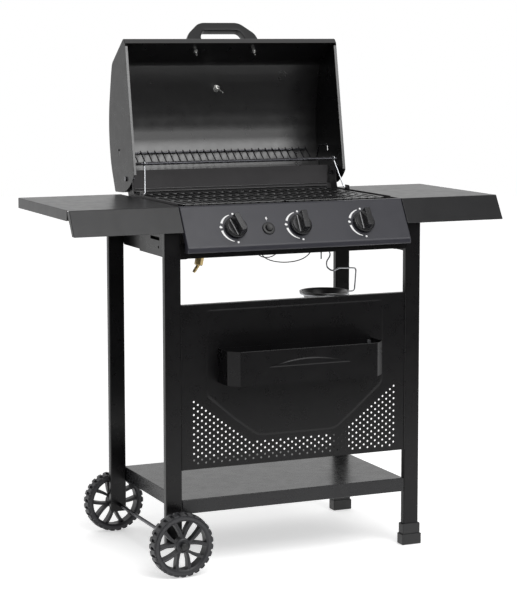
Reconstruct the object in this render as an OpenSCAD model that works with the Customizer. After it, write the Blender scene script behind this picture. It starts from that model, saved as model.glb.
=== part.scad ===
// Gas barbecue grill on a two wheel trolley.
// Millimetres. +X is right seen from the front, the front faces -Y, +Z is up.
// The floor is Z = 0, X = 0 and Y = 0 lie in the middle of the four legs.
// The lid is drawn open, which is its rest position.

/* [Frame] */
// Overall width across the legs
frame_w = 666; // [654:2:680]
// Overall depth across the legs
frame_d = 408; // [406:1:412]
// Width of a leg tube seen from the front
leg_w = 40; // [36:1:42]
// Depth of a leg tube
leg_d = 18; // [16:1:20]
// Height of the bottom shelf surface
shelf_z = 169; // [160:1:190]
// Height of the front lip of the shelf
shelf_lip = 34; // [24:1:40]

/* [Side tables] */
// Length of one side table
table_l = 264; // [200:2:300]
// Depth of the rolled table edge
table_edge = 25; // [15:1:30]
// Height of the sloped front of a table
apron_h = 58; // [40:1:58]

/* [Front panel] */
// Lower edge of the perforated front panel
panel_z0 = 240; // [225:1:250]
// Upper edge of the perforated front panel
panel_z1 = 630; // [600:1:650]
// Diameter of the panel holes
hole_d = 6; // [3:0.5:7]
// Thickness of the tool tray sheet
tray_t = 1.2; // [1:0.1:2]

/* [Wheels] */
// Wheel diameter
wheel_d = 152; // [140:1:156]
// Wheel width
wheel_w = 36; // [28:1:38]

/* [Controls] */
// Diameter of a control knob
knob_d = 54; // [46:1:56]
// Spacing of the control knobs
knob_pitch = 166; // [150:1:170]
// Distance of the middle knob to the right of the middle of the grill
ctl_x = 5; // [0:1:8]

/* [Lid] */
// Thickness of the folded sheets of lid and firebox
sheet_t = 1.2; // [1:0.1:1.4]
// Height of the grip above the lid
grip_h = 82; // [78:1:90]

/* [Hidden] */
ctl_xs = [ctl_x - knob_pitch, ctl_x, ctl_x + knob_pitch];
fx = frame_w / 2;
fy = frame_d / 2;
inx = fx - leg_w;
top_z = 858;
st = sheet_t;
slope_a = 30.58;
slope_y = -185;
slope_l = 106.4;
burner_z = 762;
lid_x = 288.5;
hinge = [178, 898];
lid_a = 79.6;
leg_pivot = [93, 866];
rack_front = [130, 938];
rack_pin = [229.5, 966.8];
box_x = 279.5;
axle_x = -fx + leg_w / 2;
axle_z = wheel_d / 2;
axle_d = 9;
wire_d = 4;
tray_w = 201;
cup_c = [171, 0];
cup_z = 617;
lid_profile = [
    [329, -58], [342, -50], [296, 45], [269, 58], [234.5, 72], [200.5, 85.5],
    [170, 94.5], [137, 101], [100, 104.5], [60, 105], [36, 103], [-20, 90],
    [-28, 28], [-19, 26]
];
lead_route = [
    [-77, -194, 781], [-77, -194, 772], [-78, -189, 762], [-80, -184, 751],
    [-80, -183, 741], [-74, -183, 731], [-58, -183, 722.5], [-36, -183, 717.5], [-14, -183, 716],
    [10, -183, 718], [32, -183, 725], [47, -182, 737], [54, -178, 751], [57, -170, 764],
    [56, -161, 773], [56, -152.2, 775]
];
earth_route = [
    [-86, -193, 784], [-88, -193, 774], [-91, -188, 762], [-93, -182, 750],
    [-89, -179, 740], [-79, -178, 732], [-64, -178, 729], [-49, -178, 732], [-38, -177, 740],
    [-36, -173, 753], [-41, -167, 765], [-46, -159, 773], [-46, -149, 775]
];
paint = [0.11, 0.11, 0.12];
enamel = [0.17, 0.17, 0.18];
steel = [0.75, 0.76, 0.78];
plastic = [0.07, 0.07, 0.075];
brass = [0.72, 0.6, 0.32];

// ---------------------------------------------------------------- helpers

// Draws a plane outline given as [y, z] from x0 to x1.
module along_x(x0, x1)
    translate([x0, 0, 0])
        rotate([90, 0, 90])
            linear_extrude(x1 - x0)
                children();

// Draws a plane outline given as [x, z] from y0 to y1.
module along_y(y0, y1)
    translate([0, y1, 0])
        rotate([90, 0, 0])
            linear_extrude(y1 - y0)
                children();

module block(a, b)
    translate(a)
        cube(b - a);

module mirror_x()
    mirror([1, 0, 0])
        children();

module both_x() {
    children();
    mirror([1, 0, 0])
        children();
}

// Straight round bar between two points, drawn with n flats.
module bar(a, b, d, n = 8) {
    v = b - a;
    l = norm(v);
    translate(a)
        rotate([0, acos(v[2] / l), atan2(v[1], v[0])])
            cylinder(d = d, h = l, $fn = n);
}

// Wire bent through the points, with a small ball-free overlap at each bend.
module wire(pts, d, n = 8)
    for (i = [0:len(pts) - 2]) {
        v = pts[i + 1] - pts[i];
        u = v / norm(v);
        bar(pts[i] - u * d * 0.3, pts[i + 1] + u * d * 0.3, d, n);
    }

function unit(v) = v / norm(v);
function left(v) = [-v[1], v[0]];
function side(p, i) =
    let (
        a = i > 0 ? unit(p[i] - p[i - 1]) : unit(p[1] - p[0]),
        b = i < len(p) - 1 ? unit(p[i + 1] - p[i]) : a,
        m = unit(left(a) + left(b))
    ) m / (m * left(a));
// Closed outline of a sheet of thickness t on the left side of the line p.
function thick(p, t) = concat(
    p,
    [for (i = [len(p) - 1:-1:0]) p[i] + side(p, i) * t]
);

// Point of the open lid: s runs from the hinge to the lid front, t away from the rim.
function lid_at(s, t) = [
    hinge[0] + s * cos(lid_a) + t * sin(lid_a),
    hinge[1] + s * sin(lid_a) - t * cos(lid_a)
];
function lid_line(p) = [for (q = p) lid_at(q[0], q[1])];

// Point in front of the sloped panel: d down the slope, h off the surface.
function slope_at(d, h) = [
    slope_y - d * sin(slope_a) - h * cos(slope_a),
    top_z - d * cos(slope_a) + h * sin(slope_a)
];

// Places children with +Z along the outward normal of the sloped panel.
module on_slope(x, d, h = 0)
    translate([x, slope_at(d, h)[0], slope_at(d, h)[1]])
        rotate([90 - slope_a, 0, 0])
            children();

// Round tube swept through route points, with rings every few millimetres.
function spline(p, i, t) =
    let (
        a = p[max(i - 1, 0)], b = p[i], c = p[i + 1], e = p[min(i + 2, len(p) - 1)]
    ) 0.5 * (2 * b + (c - a) * t + (2 * a - 5 * b + 4 * c - e) * t * t
        + (3 * b - a - 3 * c + e) * t * t * t);
function smooth_route(p, n) = concat(
    [for (i = [0:len(p) - 2]) for (k = [0:n - 1]) spline(p, i, k / n)],
    [p[len(p) - 1]]
);
function tangent(p, i) = unit(p[min(i + 1, len(p) - 1)] - p[max(i - 1, 0)]);
module cord(p, d, n, ref = [0, 1, 0.01]) {
    q = smooth_route(p, n);
    rings = [
        for (i = [0:len(q) - 1])
            let (
                t = tangent(q, i),
                u = unit(cross(t, ref)),
                w = cross(t, u)
            ) for (k = [0:7]) q[i] + (u * cos(45 * k) + w * sin(45 * k)) * d / 2
    ];
    last = 8 * (len(q) - 1);
    polyhedron(
        points = rings,
        faces = concat(
            [[for (k = [7:-1:0]) k]],
            [
                for (i = [0:len(q) - 2]) for (k = [0:7])
                    [8 * i + k, 8 * i + (k + 1) % 8, 8 * i + 8 + (k + 1) % 8, 8 * i + 8 + k]
            ],
            [[for (k = [0:7]) last + k]]
        )
    );
}

// ------------------------------------------------------------------ frame

module leg(x0, y0, z0, bored)
    difference() {
        block([x0, y0, z0], [x0 + leg_w, y0 + leg_d, 815]);
        block([x0 + 1.5, y0 + 1.5, z0 - 1], [x0 + leg_w - 1.5, y0 + leg_d - 1.5, 813.5]);
        if (bored)
            translate([x0 + leg_w / 2, y0 - 1, axle_z])
                rotate([-90, 0, 0])
                    cylinder(d = axle_d + 0.1, h = leg_d + 2, $fn = 32);
    }

module leg_front_left()
    color(paint) leg(-fx, -fy, 58, true);

module leg_back_left()
    color(paint) leg(-fx, fy - leg_d, 58, true);

module leg_front_right()
    color(paint) leg(inx, -fy, 20, false);

module leg_back_right()
    color(paint) leg(inx, fy - leg_d, 20, false);

module foot(yc) {
    xc = fx - leg_w / 2;
    hw = leg_w / 2;
    hd = leg_d / 2;
    difference() {
        union() {
            block([xc - hw - 3.5, yc - hd - 3.5, 27], [xc + hw + 3.5, yc + hd + 3.5, 53]);
            block([xc - hw - 6, yc - hd - 6, 0], [xc + hw + 6, yc + hd + 6, 27]);
        }
        block([xc - hw - 0.1, yc - hd - 0.1, 20], [xc + hw + 0.1, yc + hd + 0.1, 54]);
    }
}

module foot_front()
    color(plastic) foot(-fy + leg_d / 2);

module foot_back()
    color(plastic) foot(fy - leg_d / 2);

module side_rail() {
    difference() {
        union() {
            block([-inx, -fy + leg_d, 735], [-inx + 1.5, fy - leg_d, 795]);
            block([-inx - 1.2, -fy + leg_d, 731], [-inx, 70, 795]);
        }
        block([-inx - 2, -68, 768], [-inx + 2, -7, 776]);
        translate([-inx - 2, -61, 752])
            rotate([0, 90, 0])
                cylinder(d = 7, h = 5, $fn = 24);
    }
    block([-inx, -fy + leg_d, 735], [-box_x + 9, fy - leg_d, 736.5]);
}

module side_rail_left()
    color(paint) side_rail();

module side_rail_right()
    color(paint) mirror_x() side_rail();

module cross_rail(y0, out) {
    y1 = y0 + 1.5;
    block([-inx, y0, 738], [inx, y1, 775]);
    block([-inx, out > 0 ? y0 : y1 - 14, 738], [inx, out > 0 ? y0 + 14 : y1, 739.5]);
    both_x()
        block([-inx, out > 0 ? y0 : y1 - 14, 738], [-inx + 1.5, out > 0 ? y0 + 14 : y1, 775]);
}

module cross_rail_front()
    color(paint) cross_rail(-fy + 2, 1);

module cross_rail_back()
    color(paint) cross_rail(fy - 3.5, -1);

module table() {
    x0 = -291.5 - table_l;
    x1 = -290;
    t = 1.5;
    y0 = slope_y;
    low = slope_at(apron_h / cos(slope_a), 0);
    block([x0, y0 + 0.6, top_z - t], [x1, 213, top_z]);
    block([x0, -166, top_z - table_edge], [x0 + t, 213, top_z - t]);
    block([x0, 213 - t, top_z - table_edge], [x1, 213, top_z - t]);
    block([x1 - t, y0 + 6, 782], [x1, 200, top_z - t]);
    along_x(x0, x1)
        polygon([
            [y0, top_z], low, low + [15, 0], low + [15, t], low + [t * 1.2, t],
            [y0 + t * 1.16, top_z - t], [y0 + t * 1.16, top_z]
        ]);
    along_x(x0, x0 + t)
        polygon([
            [y0 + 0.5, top_z - 0.5], low + [0.5, 0.5], low + [18, 0.5], [-169, 832], [-169, top_z - 0.5]
        ]);
    for (y = [-120, 150])
        block([x0 + 12, y - 10, top_z - t - 12], [x1 - t, y + 10, top_z - t]);
}

module table_left()
    color(paint) table();

module table_right()
    color(paint) mirror_x() table();

module perforation() {
    for (k = [0:52]) {
        e = min(k, 52 - k);
        rows = e < 16 ? 10 - floor(e / 2) : 3;
        for (r = [0:rows - 1])
            translate([-262.5 + k * 525 / 52, 262 + r * 15.44 - (k % 2) * 7.72])
                circle(d = hole_d, $fn = 6);
    }
}

module front_panel()
    color(paint) {
        y0 = -fy;
        difference() {
            along_y(y0, y0 + 1.2)
                difference() {
                    translate([-inx, panel_z0])
                        square([2 * inx, panel_z1 - panel_z0]);
                    perforation();
                }
            for (x = [-193, 193])
                translate([x, y0 - 1, 515])
                    rotate([-90, 0, 0])
                        cylinder(d = 5.2, h = 4, $fn = 24);
        }
        block([-inx, y0, panel_z1 - 1.2], [inx, y0 + 15, panel_z1]);
        block([-inx, y0, panel_z0], [inx, y0 + 15, panel_z0 + 1.2]);
        both_x()
            block([-inx, y0, panel_z0], [-inx + 1.2, y0 + 15, panel_z1]);
    }

module tool_tray()
    color(paint) {
        t = tray_t;
        translate([0, -fy, 443])
            linear_extrude(82)
                difference() {
                    polygon([
                        [-tray_w, 0], [-tray_w, -56], [-tray_w + 24, -81],
                        [tray_w - 24, -81], [tray_w, -56], [tray_w, 0]
                    ]);
                    polygon([
                        [-tray_w + t, 1], [-tray_w + t, -56 + t * 0.4], [-tray_w + 24 + t * 0.4, -81 + t],
                        [tray_w - 24 - t * 0.4, -81 + t], [tray_w - t, -56 + t * 0.4], [tray_w - t, 1]
                    ]);
                }
        translate([0, -fy, 443])
            linear_extrude(t)
                polygon([
                    [-tray_w, 0], [-tray_w, -56], [-tray_w + 24, -81],
                    [tray_w - 24, -81], [tray_w, -56], [tray_w, 0]
                ]);
        difference() {
            block([-tray_w, -fy - t, 443], [tray_w, -fy, 525]);
            for (x = [-193, 193])
                translate([x, -fy - 3, 515])
                    rotate([-90, 0, 0])
                        cylinder(d = 5.2, h = 4, $fn = 24);
        }
        along_y(-fy - 82.4, -fy - 80.9)
            intersection() {
                translate([0, 484 - 285])
                    circle(r = 303, $fn = 96);
                translate([-120, 484])
                    square([240, 30]);
            }
    }

module bottom_shelf()
    color(paint) {
        t = 1.2;
        z0 = shelf_z - shelf_lip;
        block([-inx, -fy, shelf_z - t], [inx, fy, shelf_z]);
        block([-inx, -fy, z0], [inx, -fy + t, shelf_z - t]);
        block([-inx, fy - t, z0], [inx, fy, shelf_z - t]);
        both_x()
            block([-inx, -fy + t, z0], [-inx + t, fy - t, shelf_z - t]);
        block([-inx, -fy, z0], [inx, -fy + 12, z0 + t]);
    }

module bolt(p, dir, len)
    translate(p)
        rotate([0, dir * 90, 0]) {
            cylinder(d = 11, h = 2.5, $fn = 24);
            translate([0, 0, -len])
                cylinder(d = 5, h = len + 0.5, $fn = 24);
        }

module frame_bolts()
    color(steel) {
        for (z = [275, 595], y = [-fy + 9])
            both_x()
                translate([-inx + 1.2, y, z])
                    rotate([0, 90, 0])
                        cylinder(d = 9, h = 3, $fn = 6);
        for (y = [-fy + 9, fy - 9])
            both_x()
                translate([-inx + 1.2, y, 152])
                    rotate([0, 90, 0])
                        cylinder(d = 9, h = 3, $fn = 6);
        for (x = [-193, 193])
            translate([x, -fy, 515])
                rotate([90, 0, 0]) {
                    translate([0, 0, tray_t])
                        cylinder(d = 10, h = 3, $fn = 24);
                    translate([0, 0, -6])
                        cylinder(d = 5, h = 6 + tray_t + 1, $fn = 24);
                }
    }

// ----------------------------------------------------------------- wheels

module axle()
    color(steel)
        translate([axle_x, 0, axle_z])
            rotate([-90, 0, 0]) {
                translate([0, 0, -272])
                    cylinder(d = axle_d, h = 522, $fn = 32);
                translate([0, 0, -229.7])
                    cylinder(d = 16, h = 25.4, $fn = 32);
                translate([0, 0, 204.3])
                    cylinder(d = 16, h = 3.4, $fn = 32);
            }

module spoke()
    linear_extrude(16)
        polygon([
            [16, -1], [30, 1.5], [43, 7], [56, 15], [56, 20], [40, 12], [27, 7], [14, 6]
        ]);

module wheel() {
    r = wheel_d / 2;
    difference() {
        union() {
            rotate_extrude($fn = 96)
                polygon([
                    [r - 18, 4], [r - 18, wheel_w - 4], [r - 14, wheel_w - 4], [r - 12, wheel_w],
                    [r - 4, wheel_w - 1.5], [r, wheel_w - 6], [r, 6], [r - 4, 1.5], [r - 12, 0],
                    [r - 14, 4]
                ]);
            translate([0, 0, 2])
                cylinder(r = 19, h = wheel_w - 4, $fn = 48);
            translate([0, 0, wheel_w / 2 - 8])
                for (k = [0:4])
                    rotate(72 * k + 10) {
                        spoke();
                        mirror([0, 1, 0])
                            spoke();
                    }
        }
        translate([0, 0, -1])
            cylinder(d = axle_d + 0.1, h = wheel_w + 2, $fn = 32);
    }
}

module wheel_front()
    color(plastic)
        translate([axle_x, -230, axle_z])
            rotate([90, 0, 0])
                wheel();

module wheel_back()
    color(plastic)
        translate([axle_x, 208, axle_z])
            rotate([-90, 0, 0])
                wheel();

module axle_caps()
    color(plastic)
        for (s = [[-230 - wheel_w + 1, 90], [208 + wheel_w - 1, -90]])
            translate([axle_x, s[0], axle_z])
                rotate([s[1], 0, 0])
                    difference() {
                        cylinder(r = 9, h = 9, $fn = 32);
                        translate([0, 0, -1])
                            cylinder(d = axle_d, h = 8.5, $fn = 32);
                    }

// ---------------------------------------------------------------- firebox

module firebox_front()
    color(enamel)
        difference() {
            union() {
                block([-box_x + st, -147.5, 736.5], [box_x - st, -146, 850]);
                block([-box_x + st, -146.5, 846], [box_x - st, -134, 847.2]);
                block([-box_x + st, -168, 835.5], [box_x - st, -147, 837]);
            }
            for (x = ctl_xs)
                translate([x, -150, burner_z])
                    rotate([-90, 0, 0])
                        cylinder(d = 20.4, h = 6, $fn = 32);
            for (x = [-46, 56])
                translate([x, -150, 775])
                    rotate([-90, 0, 0])
                        cylinder(d = 6, h = 6, $fn = 24);
        }

module firebox_back()
    color(enamel) {
        along_y(185.5, 187)
            polygon([
                [-box_x + st, 736.5], [box_x - st, 736.5], [box_x - st, 866], [267.5, 872],
                [267.5, 918], [-267.5, 918], [-267.5, 872], [-box_x + st, 866]
            ]);
        block([-box_x + st, 172, 846], [box_x - st, 186, 847.2]);
        block([-265, 179.5, 864.8], [265, 186, 866]);
    }

module firebox_side() {
    x0 = -box_x;
    difference() {
        union() {
            along_x(x0, x0 + st)
                polygon([
                    [-147.5, 736.5], [187, 736.5], [187, 856], [192, 866], [196, 880],
                    [194, 905], [187, 914], [168, 914], [160, 905], [158, 880], [150, 862],
                    [106, 862], [103, 872], [81, 872], [78, 862], [-147.5, 862]
                ]);
            block([x0 + 0.5, -134, 846], [x0 + 18, 172, 847.2]);
        }
        translate([x0 - 1, hinge[0], hinge[1]])
            rotate([0, 90, 0])
                cylinder(d = 6.1, h = 4, $fn = 32);
        translate([x0 - 1, leg_pivot[0], leg_pivot[1]])
            rotate([0, 90, 0])
                cylinder(d = wire_d + 1, h = 4, $fn = 32);
    }
}

module firebox_left()
    color(enamel) firebox_side();

module firebox_right()
    color(enamel) mirror_x() firebox_side();

module firebox_floor()
    color(enamel)
        difference() {
            block([-box_x + st, -146, 736.5], [box_x - st, 185.5, 738]);
            for (y = [-15, 15])
                translate([cup_c[0], y, 730])
                    cylinder(d = 16, h = 12, $fn = 32);
            for (x = [162, 183])
                translate([x, 0, 730])
                    cylinder(d = 6, h = 12, $fn = 24);
        }

module burner(x) {
    translate([x, -168, burner_z])
        rotate([-90, 0, 0])
            difference() {
                union() {
                    cylinder(d = 20, h = 34, $fn = 32);
                    translate([0, 0, 34])
                        cylinder(d = 34, h = 300, $fn = 32);
                }
                translate([0, 0, -1])
                    cylinder(d = 17.6, h = 34, $fn = 32);
            }
    for (y = [-120, 150])
        block([x - 10, y - 2, 738], [x + 10, y + 2, burner_z - 12]);
}

module burner_1()
    color(steel) burner(ctl_xs[0]);

module burner_2()
    color(steel) burner(ctl_xs[1]);

module burner_3()
    color(steel) burner(ctl_xs[2]);

module heat_tent(x)
    difference() {
        union() {
            along_y(-138, 174)
                polygon([
                    [x - 46, 803], [x - 45, 802.2], [x, 822.2], [x + 45, 802.2], [x + 46, 803], [x, 823.6]
                ]);
            for (y = [-136, 170])
                for (s = [-1, 1])
                    block([x + s * 44 - 1, y - 2, 738], [x + s * 44 + 1, y + 2, 803]);
        }
    }

module heat_tent_1()
    color(enamel) heat_tent(ctl_xs[0]);

module heat_tent_2()
    color(enamel) heat_tent(ctl_xs[1]);

module heat_tent_3()
    color(enamel) heat_tent(ctl_xs[2]);

module electrode()
    color([0.9, 0.9, 0.88]) {
        translate([56, -152, 775])
            rotate([-90, 0, 0])
                cylinder(d = 5.6, h = 24, $fn = 24);
        wire([[56, -130, 775], [56, -118, 775], [32, -112, 772]], 2.4, 6);
    }

module grate(x0, x1) {
    n = 12;
    for (i = [0:n])
        block([x0 + i * (x1 - x0 - 9) / n, -142, 847.2], [x0 + 9 + i * (x1 - x0 - 9) / n, 177, 860]);
    for (y = [-142, -40, 64, 165])
        block([x0, y, 847.2], [x1, y + 12, 859.4]);
}

module grate_left()
    color(enamel) grate(-265, -2);

module grate_right()
    color(enamel) grate(2, 265);

// --------------------------------------------------------------- controls

module control_panel()
    color([0.29, 0.29, 0.32])
        difference() {
            union() {
                t = 1.5;
                a = slope_at(0, 0);
                b = slope_at(slope_l, 0);
                c = b + [0.5, -13];
                along_x(-289, 289)
                    polygon(concat(
                        [a, b, c + [0, 0], c + [22, 0], c + [22, t], c + [t, t], b + [t * 1.2, -0.4]],
                        [a + [t * 1.16, -t], [-170 - t, top_z - t], [-170 - t, 842], [-170, 842],
                        [-170, top_z]]
                    ));
                both_x()
                    along_x(-289, -289 + t)
                        polygon([
                            a + [0.6, -0.6], b + [0.6, 0], c + [0.6, 0.6], c + [16, 0.6],
                            b + [18, 6], a + [14, -8], a + [14, -0.6]
                        ]);
            }
            for (x = ctl_xs)
                on_slope(x, 60, -5)
                    cylinder(d = 11, h = 8, $fn = 32);
            on_slope(ctl_x - 83, 65, -5)
                cylinder(d = 22.2, h = 8, $fn = 32);
        }

module valve(x)
    on_slope(x, 60, -33)
        difference() {
            union() {
                translate([-11, -10, 0])
                    cube([22, 20, 22]);
                cylinder(d = 16, h = 31, $fn = 32);
                translate([0, 0, -6])
                    cylinder(d = 13, h = 7, $fn = 32);
            }
            translate([0, 0, 8])
                cylinder(d = 8.2, h = 26, $fn = 32);
            translate([0, 0, -10])
                rotate([0, 90, 0])
                    cylinder(d = 17, h = 30, center = true, $fn = 32);
        }

module injector(x)
    wire([[x, -197, 785], [x, -191, 766], [x, -186, 762], [x, -164, 762]], 7, 12);

module valves()
    color(brass) {
        for (x = ctl_xs)
            injector(x);
        valve(ctl_xs[0]);
        valve(ctl_xs[1]);
        valve(ctl_xs[2]);
    }

module manifold()
    color(steel)
        bar([-226, -178.505, 784.469], [196, -178.505, 784.469], 17, 32);

module gas_inlet()
    color(brass) {
        bar([-226, -178.5, 785], [-243, -178.5, 785], 19, 32);
        bar([-234, -178.5, 786], [-235, -178.5, 742], 14, 32);
        bar([-234.5, -178.5, 744], [-239.5, -178.5, 719], 20, 6);
        bar([-239.5, -178.5, 721], [-251.5, -178.5, 703], 9, 32);
    }

module valve_stem(x)
    on_slope(x, 60, -18)
        difference() {
            cylinder(d = 8, h = 35, $fn = 32);
            translate([-5, 2.4, 22])
                cube([10, 4, 15]);
        }

module valve_stem_1()
    color(steel) valve_stem(ctl_xs[0]);

module valve_stem_2()
    color(steel) valve_stem(ctl_xs[1]);

module valve_stem_3()
    color(steel) valve_stem(ctl_xs[2]);

module knob(x, a)
    on_slope(x, 60, 5)
        rotate(a)
            difference() {
                union() {
                    cylinder(d = knob_d, h = 5.5, $fn = 48);
                    translate([0, 0, 5])
                        cylinder(d = knob_d - 8, h = 2.5, $fn = 48);
                    intersection() {
                        translate([-7.5, -knob_d / 2, 3])
                            cube([15, knob_d, 31]);
                        cylinder(d = knob_d - 8.4, h = 40, $fn = 48);
                    }
                }
                translate([0, 0, -1])
                    cylinder(d = 8.1, h = 14, $fn = 32);
            }

module knob_1()
    color(plastic) knob(ctl_xs[0], 17);

module knob_2()
    color(plastic) knob(ctl_xs[1], 0);

module knob_3()
    color(plastic) knob(ctl_xs[2], 0);

module igniter_body()
    color(plastic) {
        block([ctl_x - 83.2, -194.8, 781.02], [ctl_x - 80.8, -193.2, 786]);
        on_slope(ctl_x - 83, 65, -30)
            difference() {
                union() {
                    cylinder(d = 21.6, h = 32, $fn = 32);
                    translate([0, 0, 30.1])
                        cylinder(d = 31, h = 4, $fn = 48);
                }
                translate([0, 0, 14])
                    cylinder(d = 17.4, h = 24, $fn = 32);
            }
    }

module igniter_button()
    color(plastic)
        on_slope(ctl_x - 83, 65, -7)
            cylinder(d = 16.6, h = 17, $fn = 48);

module igniter_lead()
    color(plastic) cord(lead_route, 2.6, 4);

module earth_lead()
    color(plastic) cord(earth_route, 2.4, 4);

// -------------------------------------------------------------------- lid

module lid_shell()
    color(enamel)
        difference() {
            along_x(-lid_x + st, lid_x - st)
                polygon(thick(lid_line(lid_profile), -st));
            handle_place()
                for (x = [-80, 80])
                    translate([x, 0, -4])
                        cylinder(d = 5.2, h = 8, $fn = 24);
            dial_place()
                translate([0, 0, -4])
                    cylinder(d = 5.2, h = 8, $fn = 24);
        }

module lid_end() {
    edge = concat(
        [[-24, -12.8], [-14, -38], [0, -57]],
        lid_profile
    );
    difference() {
        union() {
            along_x(-lid_x, -lid_x + st)
                polygon(lid_line([
                    for (i = [0:len(edge) - 2]) edge[i]
                ]));
            along_x(-lid_x + st, -lid_x + 7)
                polygon(lid_line([[4, -57], [322, -58], [322, -56.8], [4, -55.8]]));
        }
        translate([-lid_x - 1, hinge[0], hinge[1]])
            rotate([0, 90, 0])
                cylinder(d = 6.1, h = 4, $fn = 32);
        along_x(-lid_x - 1, -lid_x + 3)
            polygon(lid_line([[61.6, 35.7], [79.6, 35.7], [79.6, 40.9], [61.6, 40.9]]));
    }
}

module lid_end_left()
    color(enamel) lid_end();

module lid_end_right()
    color(enamel) mirror_x() lid_end();

module handle_place()
    translate([0, lid_at(319, -2.5)[0], lid_at(319, -2.5)[1]])
        rotate([-36.3, 0, 0])
            children();

module lid_handle()
    color(plastic)
        handle_place() {
            h = grip_h;
            translate([0, 11, 0])
                rotate([90, 0, 0])
                    linear_extrude(22)
                        difference() {
                            polygon([
                                [-98, 0.1], [98, 0.1], [95, 42], [88, 52], [56, h - 1], [50, h],
                                [-50, h], [-56, h - 1], [-88, 52], [-95, 42]
                            ]);
                            polygon([
                                [-60, -1], [60, -1], [58, 38], [46, h - 26], [-46, h - 26], [-58, 38]
                            ]);
                        }
            for (x = [-80, 80])
                translate([x, 0, -14])
                    cylinder(d = 5, h = 17, $fn = 24);
            for (x = [-80, 80])
                translate([x, 0, -4.8])
                    cylinder(d = 10, h = 3.5, $fn = 24);
        }

module dial_place()
    translate([0, lid_at(234.5, 72)[0], lid_at(234.5, 72)[1]])
        rotate([-77, 0, 0])
            children();

module thermometer()
    color(steel)
        dial_place() {
            translate([0, 0, 0.4])
                cylinder(d = 46, h = 6, $fn = 64);
            translate([0, 0, -7.6])
                cylinder(d = 15, h = 6, $fn = 6);
            translate([0, 0, -46])
                cylinder(d = 5, h = 47, $fn = 24);
        }

module hinge_bolts()
    color(steel)
        both_x()
            translate([-lid_x - 3, hinge[0], hinge[1]])
                rotate([0, 90, 0]) {
                    cylinder(d = 12, h = 2.7, $fn = 32);
                    cylinder(d = 6, h = 24, $fn = 32);
                    translate([0, 0, 4.6])
                        cylinder(d = 9, h = 7.2, $fn = 32);
                    translate([0, 0, 13.4])
                        cylinder(d = 11, h = 5, $fn = 6);
                }

module swing_leg() {
    x0 = -270;
    x1 = -258;
    p = leg_pivot;
    f = rack_front;
    wire([[-279.8, p[0], p[1]], [x0, p[0], p[1]], [x1, f[0] - 2.7, f[1] - 5.4]], wire_d);
    translate([x1 - 2, f[0], f[1]])
        rotate([0, 90, 0])
            difference() {
                cylinder(d = 14, h = 4, $fn = 32);
                translate([0, 0, -1])
                    cylinder(d = 5.4, h = 6, $fn = 32);
            }
}

module swing_leg_left()
    color(steel) swing_leg();

module swing_leg_right()
    color(steel) mirror_x() swing_leg();

module warming_rack()
    color(steel) {
        f = [rack_front[0], rack_front[1]];
        b = [248, 927.5];
        r = [284, 954];
        bar([-266, f[0], f[1]], [266, f[0], f[1]], wire_d);
        bar([-264, b[0], b[1]], [264, b[0], b[1]], wire_d);
        bar([-252, r[0], r[1]], [252, r[0], r[1]], wire_d);
        for (i = [-13:13])
            wire([
                [i * 19.2, f[0] - 1, f[1] + 3], [i * 19.2, b[0] - 1, b[1] + 3],
                [i * 19.2, r[0] + 1.4, r[1] + 4.8]
            ], 3);
        both_x() {
            wire([
                [-264, f[0], f[1]], [-264, b[0], b[1]], [-264, rack_pin[0], rack_pin[1]]
            ], wire_d);
            bar([-262.5, rack_pin[0], rack_pin[1]], [-294, rack_pin[0], rack_pin[1]], wire_d);
        }
    }

module cup_holder() {
    r = 60.5;
    ring_z = cup_z - 6.9;
    color(steel)
        cord(concat(
            [for (k = [-35:0]) [cup_c[0] + r * cos(9.8 * k), r * sin(9.8 * k), ring_z]],
            [
                [238, 5, ring_z], [245, 3, ring_z + 1], [251, 0, ring_z + 3],
                [254, 0, ring_z + 8], [256, 0, 630], [259, 0, 662], [258, 0, 667],
                [253, 0, 670], [240, 0, 671], [214, 0, 671.5], [209, 0, 670], [200, 0, 666.5],
                [193, 0, 665.6], [186, 0, 667.5], [181, 0, 672], [179, 0, 678],
                [179, 0, 687], [181, 0, 693], [184.5, 0, 698], [186, 0, 704],
                [185, 0, 710], [183, 0, 716], [183, 0, 736], [182, 0, 739], [179, 0, 740.2],
                [166, 0, 740.2], [163, 0, 739], [162, 0, 736], [162, 0, 715], [162, 0, 696]
            ]
        ), wire_d, 1, [0, 0.7, 0.7]);
}

module grease_cup()
    color(enamel)
        translate([cup_c[0], cup_c[1], cup_z])
            rotate_extrude($fn = 64)
                polygon([
                    [0, -42], [40, -42], [56, -4.8], [63, -4.8], [63, 0], [55.4, 0],
                    [39.2, -40.8], [0, -40.8]
                ]);

// ----------------------------------------------------------------- output

leg_front_left();
leg_front_right();
leg_back_left();
leg_back_right();
foot_front();
foot_back();
side_rail_left();
side_rail_right();
cross_rail_front();
cross_rail_back();
table_left();
table_right();
front_panel();
tool_tray();
bottom_shelf();
frame_bolts();
axle();
wheel_front();
wheel_back();
axle_caps();
firebox_front();
firebox_back();
firebox_left();
firebox_right();
firebox_floor();
burner_1();
burner_2();
burner_3();
heat_tent_1();
heat_tent_2();
heat_tent_3();
electrode();
grate_left();
grate_right();
control_panel();
valves();
manifold();
gas_inlet();
valve_stem_1();
valve_stem_2();
valve_stem_3();
knob_1();
knob_2();
knob_3();
igniter_body();
igniter_button();
igniter_lead();
earth_lead();
lid_shell();
lid_end_left();
lid_end_right();
lid_handle();
thermometer();
hinge_bolts();
swing_leg_left();
swing_leg_right();
warming_rack();
cup_holder();
grease_cup();
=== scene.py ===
import math

import bmesh
import bpy
from mathutils import Matrix, Vector


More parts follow.
